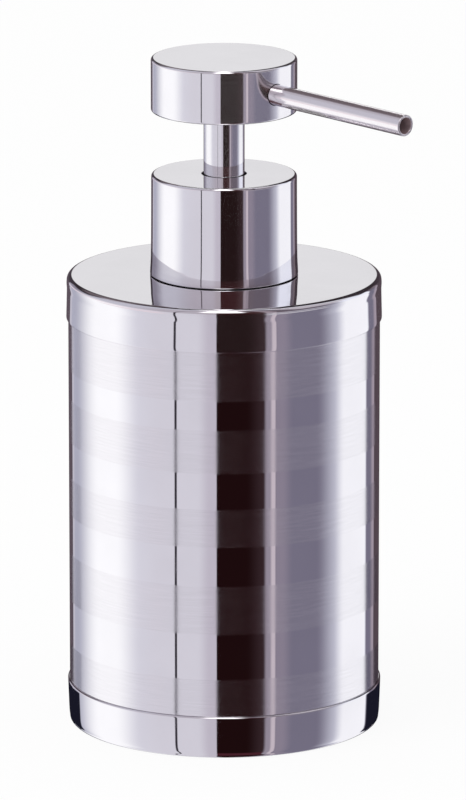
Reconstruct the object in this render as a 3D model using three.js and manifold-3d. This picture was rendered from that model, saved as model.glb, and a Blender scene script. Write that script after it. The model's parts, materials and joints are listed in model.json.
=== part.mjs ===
// Table soap dispenser: a banded steel body with an inner bottle, and a lotion pump with a long straight nozzle.
// Millimetres, +Z up. The origin is the centre of the foot pad's underside, and the nozzle points along +X.

import * as THREE from "three";
import { mergeVertices } from "three/addons/utils/BufferGeometryUtils.js";
import Module from "manifold-3d";

const wasm = await Module();
wasm.setup();

// Clearances
const fitGap = 0.3; // between pieces that seat on each other
const slideGap = 0.25; // radial, round what slides or turns
const ballGap = 0.12; // between a valve ball and its seat
const overrun = 2; // how far a cutting shape runs past what it cuts

// Body, lid and base
const bodyHeight = 116.2; // table to the lid's flat top
const bodyRadius = 39.5;
const capProud = 0.5; // the lid and the base stand this far proud of the body
const shellWall = 0.8;
const shellEndRadius = 0.6; // rounds the shell's ends, which sit in the corners of the lid and the base
const capWall = 0.7;
const lidHeight = 11.1;
const lidEdgeRadius = 1.7;
const baseHeight = 10.7;
const baseEdgeRadius = 1.8;
const capLipRadius = 0.3;
const plateThickness = 0.8; // the lid's top and the base's floor
const footThickness = 1.2;
const footEdgeRadius = 0.4;
const rimWidth = 3.7; // the base's standing ring, from the outside in to the foot pad's recess
const rimLift = 0.5; // the ring stays this far off the table

// Pump outside
const collarRadius = 18.45;
const collarHeight = 25.6;
const collarWall = 0.6;
const collarEdgeRadius = 0.8;
const stemLength = 16.3; // bare stem between the collar and the head
const stemRadius = 5.175;
const stemWall = 0.6;
const stemHoleGap = 0.5; // round the stem in the collar's top
const headRadius = 18.45;
const headHeight = 13.6;
const headWall = 0.6;
const headEdgeRadius = 0.8;
const headStopGap = 2.3; // left between the head and the collar when the pump is pressed right down

// Nozzle
const nozzleReach = 63.4; // from the head's axis to the tip
const nozzleRadius = 2.675;
const nozzleBoreRadius = 2.05;
const nozzleDip = THREE.MathUtils.degToRad(1.4);
const nozzleSeat = 9; // from the head's axis to the tube's inner end
const nozzleTipRound = 0.28;

// Bottle neck and thread
const closureWall = 1.1;
const threadGap = 0.35;
const threadDepth = 1.25;
const threadPitch = 4.23;
const threadTurns = 1.25;
const threadRootWidth = 2.3;
const threadCrestWidth = 1.1;
const threadSink = 0.4; // how far a thread's root is sunk into its wall
const threadTop = 1.5; // from the neck's rim down to the thread
const neckWall = 1.6;
const neckRise = 12.8; // from the lid's top up to the neck's rim
const neckHoleGap = 0.45; // round the thread in the lid's hole
const neckRingHeight = 1.5;
const neckRingLap = 2; // how far the neck's ring reaches under the lid
const neckStand = 1; // plain neck below the ring

// Bottle
const bottleGap = 1.1; // between the bottle and the shell
const bottleWall = 1.4;
const bottleFloor = 1.5;
const bottleFootRadius = 3;
const shoulderRise = 6;
const shoulderRadius = 9;

// Pump inside
const gasketThickness = 1.2;
const flangeThickness = 1.5;
const ledgeThickness = 1.6; // the closure's inward ledge over the flange
const barrelBoreRadius = 6.6;
const barrelWall = 1.2;
const guideFlangeWidth = 2;
const guideFlangeThickness = 1.8;
const guideTowerWidth = 0.8; // how far the tower stands outside the barrel
const spigotLength = 6;
const wiperThickness = 1.5;
const wiperWidth = 1.8;
const ventRadius = 0.7;
const ventDrop = 4; // vent hole's centre below the flange
const rodRadius = 4.275;
const rodBoreRadius = 2;
const waistRadius = 3.3;
const snapWidth = 1.1; // how far the rod's snap end stands out past its waist
const snapHeight = 1.4;
const rodInset = 2.2; // rod's top above the head's underside
const sleeveInset = 1.5; // steel sleeve's top above the head's underside
const sleeveReach = 3.6; // steel sleeve's lower end below the collar's top
const pistonHeight = 7;
const pistonLip = 1.6; // height of each sealing lip
const pistonWaist = 0.9; // how deep the groove between the lips is
const springLength = 36;
const springRadius = 5.3;
const springWireRadius = 0.45;
const springCurls = 9;
const ballRadius = 2.4;
const inletBallLift = 1.5;
const outletBallLift = 1;
const inletRadius = 1.5;
const seatRise = 2.1; // height of the inlet's cone, which slopes at 45 degrees
const seatPlate = 1.5;
const cageGap = 0.5; // round the ball in its cage
const cageWall = 1;
const cageFlangeThickness = 1.4;
const cageWindowWidth = 2.4;
const socketDepth = 13; // dip tube in the barrel's tail
const tailWall = 1.3;
const tailTaper = 4.5;
const dipTubeRadius = 3;
const dipTubeWall = 0.7;
const dipTubeGap = 2; // dip tube's end above the bottle's floor
const dipTubeCut = THREE.MathUtils.degToRad(40);

// Head insert
const chamberGap = 0.6; // round the outlet ball
const pegRadius = 0.9;
const pegRoof = 0.6; // chamber's roof above the nozzle's bore
const hubRadius = 9;
const insertSkirtWall = 1.6;
const insertRoofThickness = 2.2;
const bridgeWall = 1.6; // material round the nozzle's socket in the bridge from hub to skirt
const sealDepth = 2.2;
const sealWidth = 1.1;

// Sides of the round pieces, and steps in a rounded edge
const wideSides = 40;
const neckSides = 32; // a thread also has a step at each side of its wall
const middleSides = 32;
const smallSides = 20;
const edgeSteps = 3;
const threadTaperShare = 0.08; // of the thread's length that runs out at each end
const springSteps = 8; // in one curl
const springSides = 5;
const ventSides = 8;
const ballSides = 12;
const ballRings = 8;

// Body levels and radii, from the table up
const capRadius = bodyRadius + capProud;
const neckedRadius = capRadius - capWall - fitGap;
const floorZ = footThickness + fitGap;
const floorTopZ = floorZ + plateThickness;
const lidUnderZ = bodyHeight - plateThickness;
const lidBottomZ = bodyHeight - lidHeight;
const shellTopZ = lidUnderZ - fitGap;
const recessRadius = capRadius - rimWidth;

// Neck radii, from the collar in
const closureRadius = collarRadius - collarWall - fitGap;
const closureBoreRadius = closureRadius - closureWall;
const neckThreadRadius = closureBoreRadius - threadGap;
const neckRootRadius = neckThreadRadius - threadDepth;
const neckBoreRadius = neckRootRadius - neckWall;
const lidHoleRadius = neckThreadRadius + neckHoleGap;

// Pump levels, from the lid up
const rimZ = bodyHeight + neckRise;
const gasketZ = rimZ + fitGap;
const flangeZ = gasketZ + gasketThickness + fitGap;
const flangeTopZ = flangeZ + flangeThickness;
const ledgeZ = flangeTopZ + fitGap;
const collarZ = bodyHeight + fitGap;
const collarTopZ = bodyHeight + fitGap + collarHeight;
const headZ = collarTopZ + stemLength;
const headTopZ = headZ + headHeight;
const strokeLength = stemLength - headStopGap;
const guideTopZ = collarTopZ - collarWall - fitGap;
const guideBoreRadius = stemRadius + slideGap;
const barrelRadius = barrelBoreRadius + barrelWall;
const towerRadius = barrelRadius + guideTowerWidth;
const guideFlangeRadius = barrelRadius + guideFlangeWidth;
const ledgeHoleRadius = guideFlangeRadius + slideGap;

// Pump levels, from the guide down to the bottle's floor
const pistonTopZ = ledgeZ - spigotLength - fitGap;
const pistonZ = pistonTopZ - pistonHeight;
const springTopZ = pistonZ - fitGap;
const springZ = springTopZ - springLength;
const cageFlangeZ = springZ - fitGap - cageFlangeThickness;
const chamberFloorZ = cageFlangeZ - fitGap;
const seatZ = chamberFloorZ - seatRise;
const seatConeShift = (ballRadius + ballGap) * Math.SQRT2;
const inletBallZ = seatZ - inletRadius + seatConeShift;
const socketTopZ = seatZ - seatPlate;
const socketZ = socketTopZ - socketDepth;
const socketRadius = dipTubeRadius + fitGap;
const tailRadius = socketRadius + tailWall;
const bottleZ = floorTopZ + fitGap;
const dipTubeTopZ = socketTopZ - fitGap;
const dipTubeZ = bottleZ + bottleFloor + dipTubeGap;

// Head levels
const rodTopZ = headZ + rodInset;
const sleeveTopZ = headZ + sleeveInset;
const sleeveZ = collarTopZ - sleeveReach;
const nozzleZ = headZ + headHeight / 2;
const outletConeRadius = ballRadius + ballGap + (rodRadius - ballRadius) / 3;
const outletBallZ = rodTopZ - outletConeRadius + seatConeShift;
const chamberRadius = ballRadius + chamberGap;
const insertTopZ = headTopZ - headWall - fitGap;
const insertZ = headZ + fitGap;
const insertRadius = headRadius - headWall - fitGap;
const chamberRoofZ = nozzleZ + nozzleBoreRadius + pegRoof;
const pegZ = outletBallZ + ballRadius + outletBallLift + fitGap;

// Finishes
const polishedSteel = finish(0xd9d7dd, 0.06, 1);
const bandedSteel = finish(0xd2d0d7, 0.2, 1);
const bottlePlastic = finish(0xe9e8e4, 0.45, 0);
const pumpPlastic = finish(0xf1f0ec, 0.35, 0);
const softPlastic = finish(0xdedcd6, 0.6, 0);
const darkRubber = finish(0x2b2a2c, 0.75, 0);
const springSteel = finish(0xb9b9bd, 0.3, 1);

function finish(color, roughness, metalness) {
  return new THREE.MeshStandardMaterial({ color, roughness, metalness });
}

function named(name, geometry, material) {
  const mesh = new THREE.Mesh(geometry, material);
  mesh.name = name;
  return mesh;
}

// Shares each vertex between its faces and leaves out faces with no area
function closed(geometry) {
  const bare = geometry.clone();
  bare.deleteAttribute("normal");
  bare.deleteAttribute("uv");
  const merged = mergeVertices(bare);
  const faces = [];
  for (let i = 0; i < merged.index.count; i += 3) {
    const [a, b, c] = [0, 1, 2].map((k) => merged.index.getX(i + k));
    if (a !== b && b !== c && c !== a) faces.push(a, b, c);
  }
  merged.setIndex(faces);
  return merged;
}

function solidOf(geometry) {
  const merged = closed(geometry);
  return new wasm.Manifold(new wasm.Mesh({
    numProp: 3,
    vertProperties: new Float32Array(merged.attributes.position.array),
    triVerts: new Uint32Array(merged.index.array),
  }));
}

function geometryOf(solid) {
  const { vertProperties, triVerts } = solid.getMesh();
  const geometry = new THREE.BufferGeometry();
  geometry.setAttribute("position", new THREE.BufferAttribute(new Float32Array(vertProperties), 3));
  geometry.setIndex(Array.from(triVerts));
  return geometry;
}

function joined(base, ...added) {
  return geometryOf(added.reduce((solid, other) => solid.add(solidOf(other)), solidOf(base)));
}

function cut(base, ...removed) {
  return geometryOf(removed.reduce((solid, other) => solid.subtract(solidOf(other)), solidOf(base)));
}

// A corner is [radius, height] or [radius, height, rounding]; a rounding becomes an arc of a few steps
function rounded(corners) {
  const points = [];
  corners.forEach(([x, y, rounding], i) => {
    const corner = new THREE.Vector2(x, y);
    if (!rounding) {
      points.push(corner);
      return;
    }
    const before = new THREE.Vector2(...corners.at(i - 1).slice(0, 2)).sub(corner).normalize();
    const after = new THREE.Vector2(...corners[(i + 1) % corners.length].slice(0, 2)).sub(corner).normalize();
    const half = Math.acos(THREE.MathUtils.clamp(before.dot(after), -1, 1)) / 2;
    const centre = before.clone().add(after).normalize().multiplyScalar(rounding / Math.sin(half)).add(corner);
    const start = before.clone().multiplyScalar(rounding / Math.tan(half)).add(corner).sub(centre);
    const end = after.clone().multiplyScalar(rounding / Math.tan(half)).add(corner).sub(centre);
    let sweep = end.angle() - start.angle();
    if (sweep > Math.PI) sweep -= 2 * Math.PI;
    if (sweep < -Math.PI) sweep += 2 * Math.PI;
    for (let k = 0; k <= edgeSteps; k += 1) {
      points.push(start.clone().rotateAround(new THREE.Vector2(), (sweep * k) / edgeSteps).add(centre));
    }
  });
  return points;
}

// Turns an outline about the Z axis. An outline that starts on the axis also ends there; any other is closed.
function turned(corners, sides) {
  const points = rounded(corners);
  if (points[0].x > 0) points.push(points[0].clone());
  if (THREE.ShapeUtils.area(points) < 0) points.reverse();
  return closed(new THREE.LatheGeometry(points, sides).rotateX(Math.PI / 2));
}

function ring(innerRadius, outerRadius, lowZ, highZ, sides) {
  return turned([[innerRadius, lowZ], [outerRadius, lowZ], [outerRadius, highZ], [innerRadius, highZ]], sides);
}

// Joins a row of rings of points into one closed tube with flat ends
function lofted(rings) {
  const count = rings[0].length;
  const faces = [];
  for (let i = 0; i + 1 < rings.length; i += 1) {
    for (let k = 0; k < count; k += 1) {
      const [a, b] = [i * count + k, i * count + ((k + 1) % count)];
      faces.push(a, b, a + count, b, b + count, a + count);
    }
  }
  const last = (rings.length - 1) * count;
  for (let k = 1; k + 1 < count; k += 1) {
    faces.push(0, k + 1, k);
    faces.push(last, last + k, last + k + 1);
  }
  const geometry = new THREE.BufferGeometry().setFromPoints(rings.flat());
  geometry.setIndex(faces);
  return geometry;
}

function polar(radius, angle, z) {
  return new THREE.Vector3(radius * Math.cos(angle), radius * Math.sin(angle), z);
}

// A right-hand thread ridge. Its crest is at crestRadius, and its root is sunk in the wall at rootRadius.
function threadRidge(rootRadius, crestRadius, startZ) {
  const outward = Math.sign(crestRadius - rootRadius);
  const sunkRadius = rootRadius - outward * threadSink;
  const steps = Math.round(threadTurns * neckSides);
  const rings = [];
  for (let i = 0; i <= steps; i += 1) {
    const share = i / steps;
    const growth = Math.min(1, share / threadTaperShare, (1 - share) / threadTaperShare);
    const angle = share * threadTurns * 2 * Math.PI;
    const z = startZ + share * threadTurns * threadPitch;
    const crest = THREE.MathUtils.lerp(sunkRadius + outward * threadSink / 2, crestRadius, growth);
    const section = [
      polar(sunkRadius, angle, z - threadRootWidth / 2),
      polar(crest, angle, z - threadCrestWidth / 2),
      polar(crest, angle, z + threadCrestWidth / 2),
      polar(sunkRadius, angle, z + threadRootWidth / 2),
    ];
    rings.push(outward > 0 ? section.reverse() : section);
  }
  return lofted(rings);
}

// A rod along the nozzle's axis, between two distances from the head's axis
function alongNozzle(geometry) {
  return geometry.applyMatrix4(nozzlePlace());
}

function nozzlePlace() {
  const place = new THREE.Matrix4().makeRotationY(Math.PI / 2 + nozzleDip);
  return place.setPosition(0, 0, nozzleZ);
}

function nozzleRod(radius, from, to) {
  const rod = turned([[0, from], [radius, from], [radius, to], [0, to]], smallSides);
  return alongNozzle(rod);
}

// Body
function footPad() {
  const radius = recessRadius - fitGap;
  return turned([
    [0, 0], [radius, 0, footEdgeRadius], [radius, footThickness], [0, footThickness],
  ], wideSides);
}

function baseCup() {
  const innerRadius = capRadius - capWall;
  return turned([
    [0, floorZ], [recessRadius, floorZ], [recessRadius, rimLift],
    [capRadius, rimLift, baseEdgeRadius], [capRadius, baseHeight, capLipRadius],
    [innerRadius, baseHeight], [innerRadius, floorTopZ, baseEdgeRadius - capWall], [0, floorTopZ],
  ], wideSides);
}

function bodyShell() {
  const step = bodyRadius - neckedRadius;
  const lowZ = baseHeight;
  const highZ = lidBottomZ;
  return turned([
    [neckedRadius, bottleZ, shellEndRadius], [neckedRadius, lowZ], [bodyRadius, lowZ + step],
    [bodyRadius, highZ - step], [neckedRadius, highZ], [neckedRadius, shellTopZ, shellEndRadius],
    [neckedRadius - shellWall, shellTopZ], [neckedRadius - shellWall, highZ],
    [bodyRadius - shellWall, highZ - step], [bodyRadius - shellWall, lowZ + step],
    [neckedRadius - shellWall, lowZ], [neckedRadius - shellWall, bottleZ],
  ], wideSides);
}

function topLid() {
  const innerRadius = capRadius - capWall;
  return turned([
    [lidHoleRadius, bodyHeight], [capRadius, bodyHeight, lidEdgeRadius],
    [capRadius, lidBottomZ, capLipRadius], [innerRadius, lidBottomZ],
    [innerRadius, lidUnderZ, lidEdgeRadius - capWall], [lidHoleRadius, lidUnderZ],
  ], wideSides);
}

function innerBottle() {
  const radius = bodyRadius - shellWall - bottleGap;
  const boreRadius = radius - bottleWall;
  const ringZ = shellTopZ - neckRingHeight;
  const neckZ = ringZ - neckStand;
  const shoulderZ = neckZ - shoulderRise;
  const shoulderRun = radius - neckRootRadius;
  const shoulderDrop = (bottleWall * Math.hypot(shoulderRun, shoulderRise)) / shoulderRun;
  const ringRadius = lidHoleRadius + neckRingLap;
  const innerFloorZ = bottleZ + bottleFloor;
  const bottle = turned([
    [0, bottleZ], [radius, bottleZ, bottleFootRadius], [radius, shoulderZ, shoulderRadius],
    [neckRootRadius, neckZ], [neckRootRadius, ringZ], [ringRadius, ringZ], [ringRadius, shellTopZ],
    [neckRootRadius, shellTopZ], [neckRootRadius, rimZ], [neckBoreRadius, rimZ],
    [neckBoreRadius, neckZ - shoulderDrop], [boreRadius, shoulderZ - shoulderDrop, shoulderRadius - bottleWall],
    [boreRadius, innerFloorZ, bottleFootRadius - bottleWall], [0, innerFloorZ],
  ], neckSides);
  const threadZ = rimZ - threadTop - threadRootWidth / 2 - threadTurns * threadPitch;
  return joined(bottle, threadRidge(neckRootRadius, neckThreadRadius, threadZ));
}

// Collar
function collarCover() {
  const innerRadius = collarRadius - collarWall;
  const holeRadius = stemRadius + stemHoleGap;
  const underZ = collarTopZ - collarWall;
  return turned([
    [holeRadius, collarTopZ], [collarRadius, collarTopZ, collarEdgeRadius],
    [collarRadius, collarZ, capLipRadius], [innerRadius, collarZ], [innerRadius, underZ], [holeRadius, underZ],
  ], middleSides);
}

function collarClosure() {
  const skirtZ = collarZ + fitGap;
  const topZ = ledgeZ + ledgeThickness;
  const closure = turned([
    [ledgeHoleRadius, topZ], [closureRadius, topZ, collarEdgeRadius], [closureRadius, skirtZ],
    [closureBoreRadius, skirtZ], [closureBoreRadius, ledgeZ], [ledgeHoleRadius, ledgeZ],
  ], neckSides);
  const neckThreadZ = rimZ - threadTop - threadRootWidth / 2 - threadTurns * threadPitch;
  const crestRadius = neckRootRadius + threadGap;
  return joined(closure, threadRidge(closureBoreRadius, crestRadius, neckThreadZ - threadPitch / 2));
}

// Pump barrel and what is fixed in it
function neckGasket() {
  return ring(barrelRadius + slideGap, neckRootRadius, gasketZ, gasketZ + gasketThickness, middleSides);
}

function pumpHousing() {
  const taperZ = seatZ + barrelWall;
  const barrel = turned([
    [barrelBoreRadius, flangeTopZ], [neckRootRadius, flangeTopZ], [neckRootRadius, flangeZ],
    [barrelRadius, flangeZ], [barrelRadius, taperZ], [tailRadius, taperZ - tailTaper], [tailRadius, socketZ],
    [socketRadius, socketZ], [socketRadius, socketTopZ], [inletRadius, socketTopZ], [inletRadius, seatZ],
    [inletRadius + seatRise, chamberFloorZ], [barrelBoreRadius, chamberFloorZ],
  ], smallSides);
  const ventLength = barrelWall + overrun;
  const vent = new THREE.CylinderGeometry(ventRadius, ventRadius, ventLength, ventSides);
  vent.translate(0, barrelRadius, 0);
  vent.translate(0, 0, flangeZ - ventDrop);
  return cut(barrel, vent);
}

function pumpGuide() {
  const spigotZ = ledgeZ - spigotLength;
  const spigotRadius = barrelBoreRadius - fitGap;
  const wiperSeatZ = guideTopZ - wiperThickness - fitGap;
  const wiperSeatRadius = guideBoreRadius + wiperWidth + fitGap;
  return turned([
    [guideBoreRadius, spigotZ], [spigotRadius, spigotZ], [spigotRadius, ledgeZ], [guideFlangeRadius, ledgeZ],
    [guideFlangeRadius, ledgeZ + guideFlangeThickness], [towerRadius, ledgeZ + guideFlangeThickness],
    [towerRadius, guideTopZ], [Math.min(wiperSeatRadius, towerRadius - fitGap), guideTopZ],
    [Math.min(wiperSeatRadius, towerRadius - fitGap), wiperSeatZ], [guideBoreRadius, wiperSeatZ],
  ], smallSides);
}

function stemWiper() {
  return ring(guideBoreRadius, guideBoreRadius + wiperWidth, guideTopZ - wiperThickness, guideTopZ, smallSides);
}

function ballCage() {
  const innerRadius = ballRadius + cageGap;
  const outerRadius = innerRadius + cageWall;
  const roofZ = inletBallZ + ballRadius + inletBallLift + fitGap;
  const flangeTop = cageFlangeZ + cageFlangeThickness;
  const cage = turned([
    [0, roofZ], [innerRadius, roofZ], [innerRadius, cageFlangeZ], [barrelBoreRadius - fitGap, cageFlangeZ],
    [barrelBoreRadius - fitGap, flangeTop], [outerRadius, flangeTop], [outerRadius, roofZ + cageWall],
    [0, roofZ + cageWall],
  ], smallSides);
  const windowHeight = roofZ - flangeTop;
  const across = 2 * (outerRadius + overrun);
  const middleZ = flangeTop + windowHeight / 2 + fitGap;
  const windows = [0, 1].map((quarter) => {
    const box = new THREE.BoxGeometry(across, cageWindowWidth, windowHeight - fitGap);
    return box.rotateZ((quarter * Math.PI) / 2).translate(0, 0, middleZ);
  });
  return cut(cage, ...windows);
}

function dipTube() {
  const boreRadius = dipTubeRadius - dipTubeWall;
  const tube = ring(boreRadius, dipTubeRadius, dipTubeZ, dipTubeTopZ, smallSides);
  const wedge = new THREE.BoxGeometry(4 * dipTubeRadius, 4 * dipTubeRadius, 2 * dipTubeRadius);
  wedge.translate(0, 0, -dipTubeRadius);
  wedge.rotateY(dipTubeCut);
  wedge.translate(0, 0, dipTubeZ + dipTubeRadius * Math.tan(dipTubeCut));
  return cut(tube, wedge);
}

function valveBall(z) {
  return closed(new THREE.SphereGeometry(ballRadius, ballSides, ballRings)).translate(0, 0, z);
}

// One unbroken wire of even curls between flat ends
function returnSpring() {
  const rise = springLength - 2 * springWireRadius;
  const steps = springCurls * springSteps;
  const middles = [];
  const rings = [];
  for (let i = 0; i <= steps; i += 1) {
    const angle = (i / springSteps) * 2 * Math.PI;
    const z = springZ + springWireRadius + (rise * i) / steps;
    middles.push(polar(springRadius, angle, z));
    const section = [];
    for (let k = 0; k < springSides; k += 1) {
      const around = (k / springSides) * 2 * Math.PI;
      const radius = springRadius + springWireRadius * Math.cos(around);
      section.push(polar(radius, angle, z + springWireRadius * Math.sin(around)));
    }
    rings.push(section.reverse());
  }
  let least = Infinity;
  for (let i = 0; i < middles.length; i += 1) {
    for (let k = i + springSteps / 2; k < middles.length; k += 1) {
      least = Math.min(least, middles[i].distanceTo(middles[k]) - 2 * springWireRadius);
    }
  }
  console.log(`return_spring: least gap between its curls ${least.toFixed(2)} mm`);
  return lofted(rings);
}

// Plunger
function pistonSeal() {
  const innerRadius = waistRadius + fitGap;
  const lipRadius = barrelBoreRadius - slideGap;
  const grooveRadius = lipRadius - pistonWaist;
  return turned([
    [innerRadius, pistonTopZ], [lipRadius, pistonTopZ], [lipRadius, pistonTopZ - pistonLip],
    [grooveRadius, pistonTopZ - pistonLip - pistonWaist], [grooveRadius, pistonZ + pistonLip + pistonWaist],
    [lipRadius, pistonZ + pistonLip], [lipRadius, pistonZ], [innerRadius, pistonZ],
  ], smallSides);
}

function pistonStem() {
  const shoulderZ = pistonTopZ + fitGap;
  const snapTopZ = pistonZ - fitGap;
  const snapZ = snapTopZ - snapHeight;
  const snapRadius = waistRadius + snapWidth;
  return turned([
    [rodBoreRadius, snapZ], [waistRadius, snapZ], [snapRadius, snapTopZ - snapHeight / 3], [snapRadius, snapTopZ],
    [waistRadius, snapTopZ], [waistRadius, shoulderZ], [rodRadius, shoulderZ], [rodRadius, rodTopZ],
    [outletConeRadius, rodTopZ], [rodBoreRadius, rodTopZ - outletConeRadius + rodBoreRadius],
  ], smallSides);
}

// Head
function stemSleeve() {
  return ring(stemRadius - stemWall, stemRadius, sleeveZ, sleeveTopZ, smallSides);
}

function headCover() {
  const innerRadius = headRadius - headWall;
  const cover = turned([
    [0, headTopZ], [headRadius, headTopZ, headEdgeRadius], [headRadius, headZ, capLipRadius],
    [innerRadius, headZ], [innerRadius, headTopZ - headWall], [0, headTopZ - headWall],
  ], middleSides);
  return cut(cover, nozzleRod(nozzleRadius + fitGap, hubRadius, headRadius + overrun));
}

function headInsert() {
  const sleeveSocketRadius = stemRadius + fitGap;
  const rodSocketRadius = rodRadius + slideGap;
  const skirtInnerRadius = insertRadius - insertSkirtWall;
  const roofZ = insertTopZ - insertRoofThickness;
  const carrier = turned([
    [0, pegZ], [pegRadius, pegZ], [pegRadius, chamberRoofZ], [chamberRadius, chamberRoofZ],
    [chamberRadius, rodTopZ + fitGap], [rodSocketRadius, rodTopZ + fitGap],
    [rodSocketRadius, sleeveTopZ + fitGap], [sleeveSocketRadius, sleeveTopZ + fitGap],
    [sleeveSocketRadius, insertZ], [hubRadius, insertZ], [hubRadius, roofZ], [skirtInnerRadius, roofZ],
    [skirtInnerRadius, insertZ], [insertRadius, insertZ], [insertRadius, insertTopZ], [0, insertTopZ],
  ], middleSides);
  const bridgeRadius = nozzleRadius + fitGap + bridgeWall;
  const bridgeFrom = hubRadius - insertSkirtWall;
  const bridgeTo = insertRadius - insertSkirtWall / 2;
  const bridgeHeight = 2 * bridgeRadius;
  const bridge = new THREE.BoxGeometry(bridgeTo - bridgeFrom, bridgeHeight, bridgeHeight);
  bridge.translate((bridgeFrom + bridgeTo) / 2, 0, roofZ + insertSkirtWall / 2 - bridgeRadius);
  const socketFrom = nozzleSeat - fitGap;
  return cut(
    joined(carrier, bridge),
    nozzleRod(nozzleBoreRadius, pegRadius + fitGap, nozzleSeat),
    nozzleRod(nozzleRadius + fitGap, socketFrom, headRadius),
    nozzleRod(nozzleRadius + 2 * fitGap + sealWidth, insertRadius - sealDepth, headRadius),
  );
}

function nozzleTube() {
  return turned([
    [nozzleBoreRadius, nozzleSeat], [nozzleRadius, nozzleSeat], [nozzleRadius, nozzleReach, nozzleTipRound],
    [nozzleBoreRadius, nozzleReach, nozzleTipRound],
  ], smallSides);
}

function nozzleSeal() {
  const innerRadius = nozzleRadius + fitGap;
  const from = insertRadius - sealDepth + fitGap;
  return ring(innerRadius, innerRadius + sealWidth, from, insertRadius - fitGap, smallSides);
}

// Assembly
const body = new THREE.Group();
body.add(
  named("foot_pad", footPad(), darkRubber),
  named("base_cup", baseCup(), polishedSteel),
  named("body_shell", bodyShell(), bandedSteel),
  named("top_lid", topLid(), polishedSteel),
  named("inner_bottle", innerBottle(), bottlePlastic),
);

const collar = new THREE.Group();
collar.add(
  named("collar_cover", collarCover(), polishedSteel),
  named("collar_closure", collarClosure(), pumpPlastic),
);

const barrel = new THREE.Group();
barrel.add(
  named("neck_gasket", neckGasket(), softPlastic),
  named("pump_housing", pumpHousing(), pumpPlastic),
  named("pump_guide", pumpGuide(), pumpPlastic),
  named("stem_wiper", stemWiper(), darkRubber),
  named("ball_cage", ballCage(), pumpPlastic),
  named("inlet_ball", valveBall(inletBallZ), springSteel),
  named("return_spring", returnSpring(), springSteel),
  named("dip_tube", dipTube(), softPlastic),
);

const plunger = new THREE.Group();
plunger.add(
  named("piston_stem", pistonStem(), pumpPlastic),
  named("piston_seal", pistonSeal(), softPlastic),
  named("outlet_ball", valveBall(outletBallZ), springSteel),
);

const nozzle = new THREE.Group();
nozzle.applyMatrix4(nozzlePlace());
nozzle.add(
  named("nozzle_tube", nozzleTube(), polishedSteel),
  named("nozzle_seal", nozzleSeal(), darkRubber),
);

const head = new THREE.Group();
head.add(
  named("head_cover", headCover(), polishedSteel),
  named("head_insert", headInsert(), pumpPlastic),
  named("stem_sleeve", stemSleeve(), polishedSteel),
  nozzle,
);

console.log(`stroke ${strokeLength.toFixed(2)} mm, spring seat at ${springZ.toFixed(2)} mm`);

const dispenser = new THREE.Group();
dispenser.add(body, collar, barrel, plunger, head);

export default dispenser;
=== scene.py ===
"""Dressed model of a steel table soap dispenser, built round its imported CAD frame.

Metres, +Z up. The origin is the centre of the foot pad's underside, and the nozzle points along +X.
"""
import json
import math
from collections import namedtuple

import bmesh
import bpy
from mathutils import Matrix, Vector


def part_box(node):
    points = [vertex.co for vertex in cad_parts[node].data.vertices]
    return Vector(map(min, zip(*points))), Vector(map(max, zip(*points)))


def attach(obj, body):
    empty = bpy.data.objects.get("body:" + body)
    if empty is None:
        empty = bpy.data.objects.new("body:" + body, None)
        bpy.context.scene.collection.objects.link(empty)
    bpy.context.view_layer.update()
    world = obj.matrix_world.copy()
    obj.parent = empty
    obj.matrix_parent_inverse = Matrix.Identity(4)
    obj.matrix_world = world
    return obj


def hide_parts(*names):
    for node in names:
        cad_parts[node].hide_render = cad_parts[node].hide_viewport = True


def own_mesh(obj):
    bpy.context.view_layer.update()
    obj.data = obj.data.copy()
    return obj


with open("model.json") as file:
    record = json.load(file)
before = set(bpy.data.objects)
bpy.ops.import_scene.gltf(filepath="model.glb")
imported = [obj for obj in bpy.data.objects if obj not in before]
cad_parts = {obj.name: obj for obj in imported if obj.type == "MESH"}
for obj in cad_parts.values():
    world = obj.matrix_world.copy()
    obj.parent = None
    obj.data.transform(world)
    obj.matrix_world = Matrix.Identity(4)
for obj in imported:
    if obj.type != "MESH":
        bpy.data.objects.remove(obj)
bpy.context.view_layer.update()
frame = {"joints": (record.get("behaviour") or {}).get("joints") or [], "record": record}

MM = 0.001
GAP = 0.3 * MM  # between pieces that seat on each other

# Which body each CAD node has
BODY_OF = {
    node: body
    for body, members in frame["record"]["behaviour"]["bodies"].items()
    for node in members
}

# Steps of the round meshes
WIDE_SIDES = 192
MIDDLE_SIDES = 144
SMALL_SIDES = 96
ARC_STEP = math.radians(9)
HOLD = 0.12 * MM  # from a rounding to the edge loop that keeps the straight run beside it straight
HAIR = 0.01 * MM  # the least distance that matters
SHARP_ANGLE = math.radians(28)

Span = namedtuple("Span", "radius foot top")


def span(node):
    """Outer radius, lowest and highest level of a round CAD node."""
    low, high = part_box(node)
    return Span((high.y - low.y) / 2, low.z, high.z)


BASE = span("base_cup")
SHELL = span("body_shell")
LID = span("top_lid")
PAD = span("foot_pad")
BOTTLE = span("inner_bottle")
GASKET = span("neck_gasket")
COLLAR = span("collar_cover")
CLOSURE = span("collar_closure")
HOUSING = span("pump_housing")
GUIDE = span("pump_guide")
WIPER = span("stem_wiper")
CAGE = span("ball_cage")
SPRING = span("return_spring")
TUBE = span("dip_tube")
ROD = span("piston_stem")
PISTON = span("piston_seal")
HEAD = span("head_cover")
INSERT = span("head_insert")
SLEEVE = span("stem_sleeve")

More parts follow.
